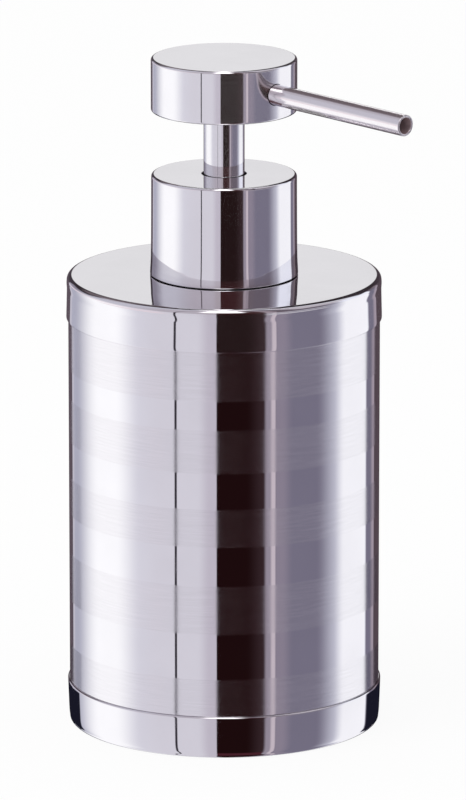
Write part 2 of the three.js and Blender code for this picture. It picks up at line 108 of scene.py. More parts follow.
# Driving sizes that the boxes don't give
PLATE = 0.8 * MM  # the lid's top and the base's floor
SHELL_WALL = 0.8 * MM
CAP_WALL = 0.7 * MM
COVER_WALL = 0.6 * MM  # collar and head covers
COVER_EDGE = 0.7 * MM  # rounding of their upper edges
SLEEVE_WALL = 0.6 * MM
BARREL_BORE = 6.6 * MM
BARREL_WALL = 1.2 * MM
NECK_ROOT = GASKET.radius
NECK_BORE = NECK_ROOT - 1.6 * MM
THREAD_PITCH = 4.23 * MM
THREAD_TURNS = 1.25
THREAD_ROOT = 2.3 * MM
THREAD_CREST = 1.1 * MM
THREAD_GAP = 0.35 * MM
THREAD_DEPTH = 1.25 * MM
THREAD_DROP = 1.5 * MM  # from the neck's rim down to the thread
THREAD_SINK = 0.4 * MM  # how deep a ridge's root lies in its wall
STEM_HOLE_GAP = 0.5 * MM
NOZZLE_RADIUS = 2.675 * MM
NOZZLE_BORE = 2.05 * MM
NOZZLE_DIP = math.radians(1.4)
NOZZLE_SEAT = 9 * MM  # from the axis to the nozzle's root
NOZZLE_RAISE = 0.3 * MM  # above the middle of the head's wall
NOZZLE_LEVEL = (HEAD.foot + HEAD.top) / 2 + NOZZLE_RAISE
NOZZLE_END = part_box("nozzle_tube")[1].x
NOZZLE_REACH = (NOZZLE_END - NOZZLE_RADIUS * math.sin(NOZZLE_DIP)) / math.cos(NOZZLE_DIP)
BALL_RADIUS = 2.4 * MM


# Outlines and round meshes

def rounded(corners):
    """Outline points of corners (radius, height) or (radius, height, rounding), each rounding as an arc."""
    points = []
    count = len(corners)
    for index, corner in enumerate(corners):
        spot = Vector(corner[:2])
        rounding = corner[2] if len(corner) > 2 else 0.0
        if not rounding:
            points.append(spot)
            continue
        before = Vector(corners[index - 1][:2]) - spot
        after = Vector(corners[(index + 1) % count][:2]) - spot
        points.extend(arc_at(spot, before, after, rounding))
    return points


def arc_at(spot, before, after, rounding):
    """Points of the arc that rounds one corner, with a holding point on each longer run beside it."""
    half = before.angle(after) / 2
    reach = rounding / math.tan(half)
    back, ahead = before.normalized(), after.normalized()
    start, end = spot + back * reach, spot + ahead * reach
    centre = spot + (back + ahead).normalized() * rounding / math.sin(half)
    first = math.atan2(start.y - centre.y, start.x - centre.x)
    last = math.atan2(end.y - centre.y, end.x - centre.x)
    sweep = (last - first + math.pi) % (2 * math.pi) - math.pi
    steps = max(3, math.ceil(abs(sweep) / ARC_STEP))
    points = []
    if before.length > reach + 2 * HOLD:
        points.append(start + back * HOLD)
    for step in range(steps + 1):
        angle = first + sweep * step / steps
        points.append(centre + rounding * Vector((math.cos(angle), math.sin(angle))))
    if after.length > reach + 2 * HOLD:
        points.append(end + ahead * HOLD)
    return points


def flowing(corners, steps=12):
    """Points of a smooth curve through some points (radius, height)."""
    knots = [Vector(corner) for corner in corners]
    knots = [2 * knots[0] - knots[1], *knots, 2 * knots[-1] - knots[-2]]
    points = []
    for before, start, end, after in zip(knots, knots[1:], knots[2:], knots[3:]):
        for step in range(steps):
            t = step / steps
            bend = (2 * before - 5 * start + 4 * end - after) * t * t
            bend += (3 * start - before - 3 * end + after) * t * t * t
            points.append(tuple((2 * start + (end - before) * t + bend) / 2))
    points.append(tuple(knots[-2]))
    return points


def solid_mesh(name, points, faces):
    """A smooth mesh with its faces pointing out and its real corners kept sharp."""
    mesh = bpy.data.meshes.new(name)
    mesh.from_pydata(points, [], faces)
    work = bmesh.new()
    work.from_mesh(mesh)
    bmesh.ops.recalc_face_normals(work, faces=work.faces)
    work.to_mesh(mesh)
    work.free()
    shade(mesh)
    return mesh


def shade(mesh):
    """Smooth shading that stops at real corners."""
    mesh.polygons.foreach_set("use_smooth", [True] * len(mesh.polygons))
    mesh.set_sharp_from_angle(angle=SHARP_ANGLE)
    mesh.update()


def between(near, far):
    """Faces between two rings of vertex numbers; a ring of one number is a point on the axis."""
    if len(near) == 1 and len(far) == 1:
        return []
    count = max(len(near), len(far))
    faces = []
    for k in range(count):
        n = (k + 1) % count
        if len(near) == 1:
            faces.append((near[0], far[n], far[k]))
        elif len(far) == 1:
            faces.append((near[k], near[n], far[0]))
        else:
            faces.append((near[k], near[n], far[n], far[k]))
    return faces


def turned(name, corners, sides=MIDDLE_SIDES):
    """Turns an outline about Z. An outline that starts on the axis also ends there; any other is closed."""
    outline = rounded(corners)
    points, rings = [], []
    for spot in outline:
        first = len(points)
        if spot.x < HAIR:
            points.append((0.0, 0.0, spot.y))
        else:
            for k in range(sides):
                angle = 2 * math.pi * k / sides
                points.append((spot.x * math.cos(angle), spot.x * math.sin(angle), spot.y))
        rings.append(range(first, len(points)))
    faces = []
    for near, far in zip(rings, rings[1:]):
        faces.extend(between(near, far))
    if len(rings[0]) > 1:
        faces.extend(between(rings[-1], rings[0]))
    return solid_mesh(name, points, faces)


def ring(name, inner, outer, foot, top, edge, sides=MIDDLE_SIDES):
    """A plain ring or tube with softened edges."""
    corners = [(inner, foot, edge), (outer, foot, edge), (outer, top, edge), (inner, top, edge)]
    return turned(name, corners, sides)


def lofted(name, sections):
    """One closed tube through a row of sections with the same number of points."""
    count = len(sections[0])
    points = [tuple(p) for section in sections for p in section]
    rings = [range(i * count, (i + 1) * count) for i in range(len(sections))]
    faces = [tuple(reversed(rings[0])), tuple(rings[-1])]
    for near, far in zip(rings, rings[1:]):
        faces.extend(between(near, far))
    return solid_mesh(name, points, faces)


def polar(radius, angle, level):
    return Vector((radius * math.cos(angle), radius * math.sin(angle), level))


def combined(mesh, operation, *others):
    """The mesh joined with, or cut by, each of the others. The others are used up."""
    holders = [bpy.data.objects.new("work", mesh)]
    for other in others:
        tool = bpy.data.objects.new("tool", other)
        change = holders[0].modifiers.new("change", "BOOLEAN")
        change.operation = operation
        change.solver = "EXACT"
        change.object = tool
        holders.append(tool)
    for holder in holders:
        bpy.context.scene.collection.objects.link(holder)
    bpy.context.view_layer.update()
    evaluated = holders[0].evaluated_get(bpy.context.evaluated_depsgraph_get())
    result = bpy.data.meshes.new_from_object(evaluated)
    result.name = mesh.name
    for holder in holders:
        bpy.data.objects.remove(holder)
    shade(result)
    return result


def box_mesh(name, low, high):
    """A box between two corners, used as a cutting or joining shape."""
    points = [(x, y, z) for x in (low[0], high[0]) for y in (low[1], high[1]) for z in (low[2], high[2])]
    faces = [(0, 1, 3, 2), (4, 6, 7, 5), (0, 4, 5, 1), (2, 3, 7, 6), (0, 2, 6, 4), (1, 5, 7, 3)]
    return solid_mesh(name, points, faces)


def along_nozzle(mesh):
    """Lays a mesh that was turned about Z along the nozzle's axis."""
    turn = Matrix.Rotation(math.pi / 2 + NOZZLE_DIP, 4, "Y")
    mesh.transform(Matrix.Translation((0, 0, NOZZLE_LEVEL)) @ turn)
    mesh.update()
    return mesh


def nozzle_rod(radius, start, end):
    """A rod on the nozzle's axis, used as a cutting shape."""
    corners = [(0, start), (radius, start), (radius, end), (0, end)]
    return along_nozzle(turned("rod", corners, SMALL_SIDES))


def round_wall(mesh, radius):
    """Gives the outside of a round cover its true normals again after a hole was cut in it."""
    normals = [Vector((0, 0, 0))] * len(mesh.loops)
    for face in mesh.polygons:
        out = Vector((face.center.x, face.center.y, 0)).normalized()
        if face.normal.dot(out) < math.cos(ARC_STEP / 4):
            continue
        for index in face.loop_indices:
            spot = mesh.vertices[mesh.loops[index].vertex_index].co
            if abs(math.hypot(spot.x, spot.y) - radius) < HOLD:
                normals[index] = Vector((spot.x, spot.y, 0)).normalized()
    mesh.normals_split_custom_set(normals)


def thread_ridge(wall, crest, foot):
    """A right-hand thread ridge whose root is sunk in its wall and which runs out at both ends."""
    steps = 240
    taper_share = 0.08
    root_half = THREAD_ROOT / 2
    shoulder_half = THREAD_CREST * 0.62
    shoulder_share = 0.85
    crest_half = THREAD_CREST * 0.38
    outward = math.copysign(1, crest - wall)
    sunk = wall - outward * THREAD_SINK
    least = wall - outward * THREAD_SINK / 2
    sections = []
    for step in range(steps + 1):
        share = step / steps
        growth = min(1.0, share / taper_share, (1 - share) / taper_share)
        growth = growth * growth * (3 - 2 * growth)
        angle = share * THREAD_TURNS * 2 * math.pi
        level = foot + share * THREAD_TURNS * THREAD_PITCH
        height = least + (crest - least) * growth
        shoulder = sunk + (height - sunk) * shoulder_share
        sections.append([
            polar(sunk, angle, level - root_half),
            polar(shoulder, angle, level - shoulder_half),
            polar(height, angle, level - crest_half),
            polar(height, angle, level + crest_half),
            polar(shoulder, angle, level + shoulder_half),
            polar(sunk, angle, level + root_half),
        ])
    return lofted("thread", sections)


# Materials

def new_material(name, colour, roughness, metallic=0.0):
    """A material with one Principled shader, and the parts that its finish is built from."""
    material = bpy.data.materials.new(name)
    material.use_nodes = True
    shader = material.node_tree.nodes["Principled BSDF"]
    shader.inputs["Base Color"].default_value = (*colour, 1)
    shader.inputs["Roughness"].default_value = roughness
    shader.inputs["Metallic"].default_value = metallic
    return material, material.node_tree, shader


def noise(tree, per_metre, detail=2.0, stretch=(1, 1, 1), seed=0.0):
    """A noise fixed to the object, with so many waves to the metre, stretched along some axes."""
    place = tree.nodes.new("ShaderNodeTexCoord")
    scale = tree.nodes.new("ShaderNodeMapping")
    scale.inputs["Scale"].default_value = stretch
    scale.inputs["Location"].default_value = (seed, seed, seed)
    texture = tree.nodes.new("ShaderNodeTexNoise")
    texture.inputs["Scale"].default_value = per_metre
    texture.inputs["Detail"].default_value = detail
    tree.links.new(place.outputs["Object"], scale.inputs["Vector"])
    tree.links.new(scale.outputs["Vector"], texture.inputs["Vector"])
    return texture.outputs["Fac"]


def ranged(tree, value, start, end, low, high, smooth=False):
    """Maps start to end of a value onto low to high, and holds it there outside."""
    node = tree.nodes.new("ShaderNodeMapRange")
    node.interpolation_type = "SMOOTHSTEP" if smooth else "LINEAR"
    tree.links.new(value, node.inputs["Value"])
    node.inputs["From Min"].default_value = start
    node.inputs["From Max"].default_value = end
    node.inputs["To Min"].default_value = low
    node.inputs["To Max"].default_value = high
    return node.outputs["Result"]


def math_node(tree, operation, first, second=None):
    """The result of a sum on sockets or numbers."""
    node = tree.nodes.new("ShaderNodeMath")
    node.operation = operation
    for socket, value in zip(node.inputs, (first, second)):
        if isinstance(value, bpy.types.NodeSocket):
            tree.links.new(value, socket)
        elif value is not None:
            socket.default_value = value
    return node.outputs["Value"]


def mixed(tree, factor, first, second):
    """A colour between two colours, each a socket or a colour of three numbers."""
    node = tree.nodes.new("ShaderNodeMix")
    node.data_type = "RGBA"
    tree.links.new(factor, node.inputs["Factor"])
    for socket, value in zip(node.inputs[6:8], (first, second)):
        if isinstance(value, bpy.types.NodeSocket):
            tree.links.new(value, socket)
        else:
            socket.default_value = (*value, 1)
    return node.outputs[2]


def bumped(tree, shader, height, distance):
    """Relief that a height of one raises by a distance."""
    bump = tree.nodes.new("ShaderNodeBump")
    bump.inputs["Distance"].default_value = distance
    tree.links.new(height, bump.inputs["Height"])
    tree.links.new(bump.outputs["Normal"], shader.inputs["Normal"])


STEEL = (0.9, 0.89, 0.91)
STEEL_DULL = (0.86, 0.85, 0.87)
STEEL_LINES = (0.84, 0.83, 0.85)


def round_body(tree):
    """The direction round the body's axis at each spot."""
    node = tree.nodes.new("ShaderNodeTangent")
    node.direction_type = "RADIAL"
    node.axis = "Z"
    return node.outputs["Tangent"]


def down_nozzle(tree):
    """The nozzle's own direction, wherever the head is turned."""
    along = tree.nodes.new("ShaderNodeCombineXYZ")
    along.inputs["X"].default_value = math.cos(NOZZLE_DIP)
    along.inputs["Z"].default_value = -math.sin(NOZZLE_DIP)
    placed = tree.nodes.new("ShaderNodeVectorTransform")
    placed.vector_type = "VECTOR"
    placed.convert_from = "OBJECT"
    placed.convert_to = "WORLD"
    tree.links.new(along.outputs["Vector"], placed.inputs["Vector"])
    return placed.outputs["Vector"]


def polished_steel(name="polished_steel", haze=0.0):
    """Mirror-polished steel with faint wiping marks. Haze is the share of it that isn't mirror."""
    material, tree, shader = new_material(name, STEEL, 0.04, 1.0 - haze)
    marks = noise(tree, 55, 3.0)
    tint = mixed(tree, ranged(tree, marks, 0.35, 0.7, 0, 1), STEEL, STEEL_DULL)
    tree.links.new(tint, shader.inputs["Base Color"])
    spread = ranged(tree, marks, 0.5, 0.75, 0.03, 0.075, smooth=True)
    tree.links.new(spread, shader.inputs["Roughness"])
    waves = noise(tree, 90, 1.0, seed=3.0)
    bumped(tree, shader, waves, 0.004 * MM)
    return material


def brushed_steel():
    """Steel with fine lines brushed round it, which spread a reflection up and down only."""
    material, tree, shader = new_material("brushed_steel", STEEL, 0.15, 1.0)
    lines = noise(tree, 110, 4.0, stretch=(1, 1, 100))
    tint = mixed(tree, ranged(tree, lines, 0.38, 0.62, 0, 1), STEEL_LINES, STEEL)
    tree.links.new(tint, shader.inputs["Base Color"])
    tree.links.new(ranged(tree, lines, 0.38, 0.62, 0.13, 0.17), shader.inputs["Roughness"])
    shader.inputs["Anisotropic"].default_value = 1.0
    shader.inputs["Anisotropic Rotation"].default_value = 0.25
    tree.links.new(round_body(tree), shader.inputs["Tangent"])
    grooves = noise(tree, 90, 4.0, stretch=(1, 1, 130), seed=7.0)
    bumped(tree, shader, grooves, 0.0018 * MM)
    return material


def drawn_steel():
    """Tube with fine lines along its length, which spread a reflection round it."""
    material, tree, shader = new_material("drawn_steel", (0.9, 0.87, 0.885), 0.25, 1.0)
    streaks = noise(tree, 500, 3.0, stretch=(0.02, 1, 1))
    tree.links.new(ranged(tree, streaks, 0.3, 0.7, 0.145, 0.17), shader.inputs["Roughness"])
    shader.inputs["Anisotropic"].default_value = 0.85
    shader.inputs["Anisotropic Rotation"].default_value = 0.25
    tree.links.new(down_nozzle(tree), shader.inputs["Tangent"])
    bumped(tree, shader, streaks, 0.001 * MM)
    return material


def tube_bore():
    """The unpolished, slightly stained inside of a steel tube."""
    material, tree, shader = new_material("tube_bore", (0.4, 0.3, 0.32), 0.6, 0.3)
    stains = noise(tree, 700, 4.0)
    tint = mixed(tree, ranged(tree, stains, 0.35, 0.65, 0, 1), (0.45, 0.33, 0.35), (0.34, 0.25, 0.27))
    tree.links.new(tint, shader.inputs["Base Color"])
    bumped(tree, shader, stains, 0.02 * MM)
    return material


def wire_steel():
    """Drawn stainless wire and ground balls."""
    material, tree, shader = new_material("wire_steel", (0.62, 0.62, 0.64), 0.28, 1.0)
    scratches = noise(tree, 900, 3.0)
    tree.links.new(ranged(tree, scratches, 0.3, 0.7, 0.2, 0.38), shader.inputs["Roughness"])
    bumped(tree, shader, scratches, 0.01 * MM)
    return material


def moulded(name, colour, shade_colour, roughness, grain):
    """A moulded plastic with a slightly uneven colour and a fine grain."""
    material, tree, shader = new_material(name, colour, roughness)
    cloud = noise(tree, 60, 2.0)
    tint = mixed(tree, ranged(tree, cloud, 0.35, 0.65, 0, 1), colour, shade_colour)
    tree.links.new(tint, shader.inputs["Base Color"])
    fine = noise(tree, 1800, 2.0, seed=2.0)
    spread = ranged(tree, fine, 0.3, 0.7, roughness - 0.05, roughness + 0.05)
    tree.links.new(spread, shader.inputs["Roughness"])
    bumped(tree, shader, fine, grain)
    return material


def bottle_plastic():
    """Natural polypropylene that lets a little light in."""
    material = moulded("bottle_plastic", (0.86, 0.86, 0.83), (0.81, 0.81, 0.78), 0.45, 0.03 * MM)
    shader = material.node_tree.nodes["Principled BSDF"]
    shader.inputs["Subsurface Weight"].default_value = 0.25
    shader.inputs["Subsurface Radius"].default_value = (2 * MM, 2 * MM, 1.6 * MM)
    shader.inputs["Subsurface Scale"].default_value = 1.0
    return material


def foam_rubber():
    """Closed-cell foam: small pits in a matt dark sheet."""
    material, tree, shader = new_material("foam_rubber", (0.09, 0.09, 0.09), 0.85)
    cells = tree.nodes.new("ShaderNodeTexVoronoi")
    cells.inputs["Scale"].default_value = 1500
    place = tree.nodes.new("ShaderNodeTexCoord")
    tree.links.new(place.outputs["Object"], cells.inputs["Vector"])
    pits = cells.outputs["Distance"]
    tint = mixed(tree, ranged(tree, pits, 0.1, 0.5, 0, 1), (0.12, 0.12, 0.12), (0.05, 0.05, 0.05))
    tree.links.new(tint, shader.inputs["Base Color"])
    bumped(tree, shader, pits, 0.08 * MM)
    return material


POLISHED = polished_steel()
HAZY = polished_steel("hazy_steel", haze=0.008)
HEAD_STEEL = polished_steel("head_steel", haze=0.04)
BRUSHED = brushed_steel()
DRAWN = drawn_steel()
BORE = tube_bore()
WIRE = wire_steel()
BOTTLE_PLASTIC = bottle_plastic()
PUMP_PLASTIC = moulded("pump_plastic", (0.88, 0.88, 0.86), (0.84, 0.84, 0.82), 0.32, 0.008 * MM)
SOFT_PLASTIC = moulded("soft_plastic", (0.8, 0.8, 0.78), (0.74, 0.74, 0.71), 0.55, 0.02 * MM)
SEAL_RUBBER = moulded("seal_rubber", (0.03, 0.029, 0.03), (0.05, 0.048, 0.05), 0.5, 0.01 * MM)
FOAM_RUBBER = foam_rubber()


def dress(node, mesh, *materials):
    """Puts a finished mesh in the place of its CAD node, on the same body."""
    piece = bpy.data.objects.new("fine_" + node, mesh)
    bpy.context.scene.collection.objects.link(piece)
    mesh.name = "fine_" + node
    for material in materials:
        mesh.materials.append(material)
    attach(piece, BODY_OF[node])
    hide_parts(node)
    return piece


# Body, lid and base

BASE_EDGE = 0.35 * MM  # rounding of the base's lower edge
BASE_LIP = 0.4 * MM  # rounding of its upper edge
BASE_LIFT = 0.1 * MM  # the foot pad holds the base this far off the table
RIM_WIDTH = 3.7 * MM  # of the base, round the foot pad's recess
LID_EDGE = 1.3 * MM
SHELL_STEP = 0.3 * MM  # height over which the shell narrows at each end
SEAM = 0.06 * MM  # left open at the lid and the base

# The slightly wavy walls of the base, upwards, and of the lid, downwards: how far inside the greatest
# radius, and how far from the lower edge of the base or the upper face of the lid
BASE_WAVE = [
    (0.5, 0.6), (0.41, 1.1), (0.36, 1.6), (0.31, 2.4), (0.25, 3.8), (0.152, 6.4), (0.06, 9.0), (0.028, 9.9),
]
LID_WAVE = [
    (0.145, 1.5), (0.119, 1.75), (0.105, 2.1), (0.117, 2.5), (0.143, 2.9), (0.168, 3.28), (0.18, 3.75),
    (0.145, 5.5), (0.088, 7.9), (0.046, 9.4), (0.02, 10.3), (0.014, 10.8),
]
LID_DOME = 0.14 * MM  # how far the lid's upper face falls towards its edge
DOME_START = 29 * MM

# Bands of the shell from the base up: finish and height
BANDS = [
    ("brushed", 9.8 * MM), ("polished", 11.7 * MM), ("brushed", 12.5 * MM),
    ("polished", 10.1 * MM), ("brushed", 9.8 * MM), ("polished", 9.3 * MM),
    ("brushed", 11.1 * MM), ("polished", 7.5 * MM), ("brushed", 12.6 * MM),
]


def foot_pad():
    edge = 0.35 * MM
    corners = [(0, PAD.foot), (PAD.radius, PAD.foot, edge), (PAD.radius, PAD.top, edge), (0, PAD.top)]
    dress("foot_pad", turned("pad", corners, WIDE_SIDES), FOAM_RUBBER)


def base_cup():
    floor = PAD.top + GAP
    recess = BASE.radius - RIM_WIDTH
    inner = BASE.radius - CAP_WALL
    thin = 0.1 * MM
    soft = 0.25 * MM
    bend = 1.1 * MM
    wall = flowing([(BASE.radius - inset * MM, BASE_LIFT + rise * MM) for inset, rise in BASE_WAVE])
    corners = [
        (0, floor), (recess, floor, soft), (recess, BASE_LIFT, soft),
        (wall[0][0], BASE_LIFT, BASE_EDGE), *wall, (BASE.radius - HAIR, BASE.top, BASE_LIP),
        (inner, BASE.top, thin), (inner, floor + PLATE, bend), (0, floor + PLATE),
    ]
    dress("base_cup", turned("base", corners, WIDE_SIDES), POLISHED)


def band_levels():
    """The lower level of each band, and the top of the last one."""
    levels = [BASE.top]
    for _, height in BANDS:
        levels.append(levels[-1] + height)
    return levels


def body_shell():
    """The straight tube, necked in at both ends, with its bands as separate faces."""
    necked = BASE.radius - CAP_WALL - GAP
    bore = SHELL.radius - SHELL_WALL
    necked_bore = necked - SHELL_WALL
    low, high = BASE.top + SEAM - SHELL_STEP, LID.foot - SEAM + SHELL_STEP
    levels = band_levels()
    edges = [(SHELL.radius, level) for level in levels[1:-1]]
    soft = 0.25 * MM
    mesh = turned("shell", [
        (necked, SHELL.foot, SHELL_STEP), (necked, low), (SHELL.radius, low + SHELL_STEP, soft),
        *edges,
        (SHELL.radius, high - SHELL_STEP, soft), (necked, high), (necked, SHELL.top, SHELL_STEP),
        (necked_bore, SHELL.top), (necked_bore, high), (bore, high - SHELL_STEP),
        (bore, low + SHELL_STEP), (necked_bore, low), (necked_bore, SHELL.foot),
    ], WIDE_SIDES)
    polished = [
        (levels[i], levels[i + 1]) for i, (finish, _) in enumerate(BANDS) if finish == "polished"
    ]
    for face in mesh.polygons:
        level = face.center.z
        face.material_index = int(any(foot < level < top for foot, top in polished))
    dress("body_shell", mesh, BRUSHED, POLISHED)


def top_lid():
    hole = lid_hole()
    inner = LID.radius - CAP_WALL
    under = LID.top - PLATE
    wall = flowing([(LID.radius - inset * MM, LID.top - drop * MM) for inset, drop in LID_WAVE])
    edge = wall[0][0]
    thin = 0.12 * MM
    soft = 0.2 * MM
    corners = [
        (hole, LID.top, soft), *lid_dome(edge), (edge, LID.top - LID_DOME, LID_EDGE), *wall,
        (LID.radius - 2 * HAIR, LID.foot, thin), (inner, LID.foot),
        (inner, under - LID_DOME, LID_EDGE - CAP_WALL), (hole, under),
    ]
    dress("top_lid", turned("lid", corners, WIDE_SIDES), HAZY)


def lid_dome(edge):
    """Points along the lid's upper face, which falls a little towards its edge."""
    steps = 16
    end = edge - LID_EDGE
    points = []
    for step in range(steps + 1):
        share = step / steps
        points.append((DOME_START + (end - DOME_START) * share, LID.top - LID_DOME * share * share))
    return points


def lid_hole():
    """The radius of the lid's hole, which clears the bottle's thread."""
    play = 0.45 * MM
    return neck_thread_radius() + play


def neck_thread_radius():
    """The radius over the crests of the bottle's thread."""
    return NECK_ROOT + THREAD_DEPTH


def thread_foot():
    """The level of the lower end of the bottle's thread."""
    return BOTTLE.top - THREAD_DROP - THREAD_ROOT / 2 - THREAD_TURNS * THREAD_PITCH


def inner_bottle():
    wall = 1.4 * MM
    floor = 1.5 * MM
    shoulder_rise = 6 * MM
    shoulder_round = 9 * MM
    foot_round = 3 * MM
    ring_width = 2 * MM
    ring_height = 1.5 * MM
    neck_length = 1 * MM
    ring_radius = lid_hole() + ring_width
    ring_foot = SHELL.top - ring_height
    neck_foot = ring_foot - neck_length
    shoulder = neck_foot - shoulder_rise
    run = BOTTLE.radius - NECK_ROOT
    drop = wall * math.hypot(run, shoulder_rise) / run
    bore = BOTTLE.radius - wall
    soft = 0.3 * MM
    bottle = turned("bottle", [
        (0, BOTTLE.foot), (BOTTLE.radius, BOTTLE.foot, foot_round),
        (BOTTLE.radius, shoulder, shoulder_round), (NECK_ROOT, neck_foot, soft),
        (NECK_ROOT, ring_foot), (ring_radius, ring_foot, soft), (ring_radius, SHELL.top, soft),
        (NECK_ROOT, SHELL.top), (NECK_ROOT, BOTTLE.top, soft), (NECK_BORE, BOTTLE.top, soft),
        (NECK_BORE, neck_foot - drop, soft), (bore, shoulder - drop, shoulder_round - wall),
        (bore, BOTTLE.foot + floor, foot_round - wall), (0, BOTTLE.foot + floor),
    ])
    thread = thread_ridge(NECK_ROOT, neck_thread_radius(), thread_foot())
    dress("inner_bottle", combined(bottle, "UNION", thread), BOTTLE_PLASTIC)


# Collar

# The cover's wall from the top down: how far inside the CAD's wall, and how far above its foot
COLLAR_WAVE = [
    (0.05, 24.5), (0.03, 19), (0.0, 13), (-0.04, 7.8), (-0.08, 5), (-0.13, 3.3), (-0.2, 1.9), (-0.26, 0.8),
]
COLLAR_SEAM = 0.21 * MM  # between the collar and the lid


def collar_cover():
    hole = SLEEVE.radius + STEM_HOLE_GAP
    inner = COLLAR.radius - COVER_WALL
    under = COLLAR.top - COVER_WALL
    foot = LID.top + COLLAR_SEAM
    thin = 0.12 * MM
    soft = 0.2 * MM
    wall = flowing([(COLLAR.radius - inset * MM, foot + rise * MM) for inset, rise in COLLAR_WAVE])
    corners = [
        (hole, COLLAR.top, thin), (wall[0][0], COLLAR.top, COVER_EDGE), *wall,
        (wall[-1][0] + 2 * HAIR, foot, soft), (inner, foot), (inner, under), (hole, under),
    ]
    dress("collar_cover", turned("collar", corners, WIDE_SIDES), HAZY)


def collar_closure():
    bore = neck_thread_radius() + THREAD_GAP
    ledge = HOUSING.top + GAP
    play = 0.25 * MM
    hole = GUIDE.radius + play
    soft = 0.25 * MM
    edge = 0.8 * MM
    closure = turned("closure", [
        (hole, CLOSURE.top, soft), (CLOSURE.radius, CLOSURE.top, edge),
        (CLOSURE.radius, CLOSURE.foot, soft), (bore, CLOSURE.foot, soft), (bore, ledge),
        (hole, ledge, soft),
    ])
    thread = thread_ridge(bore, NECK_ROOT + THREAD_GAP, thread_foot() - THREAD_PITCH / 2)
    dress("collar_closure", combined(closure, "UNION", thread), PUMP_PLASTIC)


# Pump barrel and what is fixed in it

def neck_gasket():
    play = 0.25 * MM
    soft = 0.25 * MM
    inner = BARREL_BORE + BARREL_WALL + play
    mesh = ring("gasket", inner, GASKET.radius, GASKET.foot, GASKET.top, soft)
    dress("neck_gasket", mesh, SOFT_PLASTIC)


def pump_housing():
    flange = 1.5 * MM
    barrel = BARREL_BORE + BARREL_WALL
    socket = TUBE.radius + GAP
    tail_wall = 1.3 * MM
    tail = socket + tail_wall
    inlet = 1.5 * MM
    inlet_length = 1.5 * MM
    cone = 2.1 * MM
    floor = CAGE.foot - GAP
    seat = floor - cone
    socket_top = seat - inlet_length
    shoulder = seat + BARREL_WALL
    shoulder_fall = 4.5 * MM
    shoulder_round = 0.6 * MM
    soft = 0.2 * MM
    body = turned("housing", [
        (BARREL_BORE, HOUSING.top, soft), (HOUSING.radius, HOUSING.top, soft),
        (HOUSING.radius, HOUSING.top - flange, soft), (barrel, HOUSING.top - flange, soft),
        (barrel, shoulder, shoulder_round), (tail, shoulder - shoulder_fall, shoulder_round),
        (tail, HOUSING.foot, soft), (socket, HOUSING.foot, soft), (socket, socket_top),
        (inlet, socket_top), (inlet, seat), (inlet + cone, floor), (BARREL_BORE, floor),
    ], SMALL_SIDES)
    vent_drop = 4 * MM
    vent = vent_rod(HOUSING.top - flange - vent_drop, 2 * barrel)
    dress("pump_housing", combined(body, "DIFFERENCE", vent), PUMP_PLASTIC)


def vent_rod(level, length):
    """A rod from the axis along +Y, which cuts the barrel's vent hole."""
    radius = 0.7 * MM
    sides = 24
    vent = turned("vent", [(0, 0), (radius, 0), (radius, length), (0, length)], sides)
    vent.transform(Matrix.Rotation(-math.pi / 2, 4, "X"))
    vent.transform(Matrix.Translation((0, 0, level)))
    return vent


WIPER_BORE = SLEEVE.radius + 0.25 * MM  # of the guide too


def pump_guide():
    bore = WIPER_BORE
    flange = 1.8 * MM
    ledge = 0.8 * MM
    flange_foot = HOUSING.top + GAP
    flange_top = flange_foot + flange
    tower = BARREL_BORE + BARREL_WALL + ledge
    spigot = BARREL_BORE - GAP
    seat = min(WIPER.radius + GAP, tower - GAP)
    soft = 0.15 * MM
    mesh = turned("guide", [
        (bore, GUIDE.foot, soft), (spigot, GUIDE.foot, soft), (spigot, flange_foot),
        (GUIDE.radius, flange_foot, soft), (GUIDE.radius, flange_top, soft), (tower, flange_top),
        (tower, GUIDE.top, soft), (seat, GUIDE.top), (seat, WIPER.foot - GAP), (bore, WIPER.foot - GAP),
    ], SMALL_SIDES)
    dress("pump_guide", mesh, PUMP_PLASTIC)


def stem_wiper():
    lip = 0.5 * MM
    fine = 0.08 * MM
    thin = 0.1 * MM
    soft = 0.2 * MM
    corners = [
        (WIPER_BORE, WIPER.foot, thin), (WIPER.radius, WIPER.foot, soft),
        (WIPER.radius, WIPER.top - lip, soft), (WIPER_BORE + lip, WIPER.top - lip, thin),
        (WIPER_BORE + lip / 2, WIPER.top, fine), (WIPER_BORE, WIPER.top, fine),
    ]
    dress("stem_wiper", turned("wiper", corners, SMALL_SIDES), SEAL_RUBBER)


def ball_cage():
    """Keeps the inlet ball over its seat, with four slots for the soap."""
    play = 0.5 * MM
    inner = BALL_RADIUS + play
    wall = 1 * MM
    flange = 1.4 * MM
    flange_top = CAGE.foot + flange
    roof = CAGE.top - wall
    soft = 0.15 * MM
    round_top = 0.4 * MM
    cage = turned("cage", [
        (0, roof), (inner, roof), (inner, CAGE.foot, soft), (CAGE.radius, CAGE.foot, soft),
        (CAGE.radius, flange_top, soft), (inner + wall, flange_top),
        (inner + wall, CAGE.top, round_top), (0, CAGE.top),
    ], SMALL_SIDES)
    half = 1.2 * MM  # of a slot's width
    long = CAGE.radius
    low, high = flange_top + GAP, roof
    slots = [
        box_mesh("slot", (-long, -half, low), (long, half, high)),
        box_mesh("slot", (-half, -long, low), (half, long, high)),
    ]
    dress("ball_cage", combined(cage, "DIFFERENCE", *slots), PUMP_PLASTIC)


def valve_ball(node):
    """A ground ball, turned from a half circle."""
    low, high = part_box(node)
    middle = (low.z + high.z) / 2
    steps, sides = 32, 64
    corners = []
    for step in range(steps + 1):
        angle = math.pi * step / steps - math.pi / 2
        corners.append((BALL_RADIUS * math.cos(angle), middle + BALL_RADIUS * math.sin(angle)))
    dress(node, turned("ball", corners, sides), WIRE)


